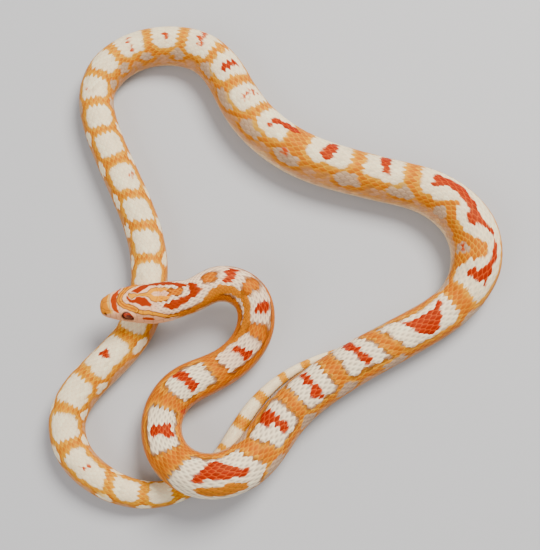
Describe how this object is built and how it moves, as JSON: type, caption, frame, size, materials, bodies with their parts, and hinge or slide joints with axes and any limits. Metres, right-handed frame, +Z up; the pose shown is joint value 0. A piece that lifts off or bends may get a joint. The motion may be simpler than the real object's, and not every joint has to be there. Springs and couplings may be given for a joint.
{
  "type": "corn snake",
  "caption": "Still, life-size model of a young corn snake lying in loose loops, head resting on its own body and tail passing under one raised loop.",
  "frame": {"origin": "middle of the model's box on the floor that it rests on", "axes": "+Z up; +Y along the longer side of the floor area it covers, away from the side the picture was taken from; the head points to -X"},
  "size_m": [0.1182, 0.1346, 0.0172],
  "materials": {
    "head_scales": "satin smooth head plates, orange, red and pinkish white",
    "body_scales": "satin overlapping scales, orange with red saddles and cream between",
    "eye": "wet gloss, red pupil in an orange-red iris"
  },
  "bodies": {
    "root": {"head": "head_scales", "lower_jaw": "head_scales", "eye_left": "eye", "eye_right": "eye", "neck": "body_scales", "body_1": "body_scales", "body_2": "body_scales", "body_3": "body_scales", "body_4": "body_scales", "body_5": "body_scales", "body_6": "body_scales", "body_7": "body_scales", "body_8": "body_scales", "body_9": "body_scales", "body_10": "body_scales", "tail_1": "body_scales", "tail_2": "body_scales"}
  },
  "joints": []
}
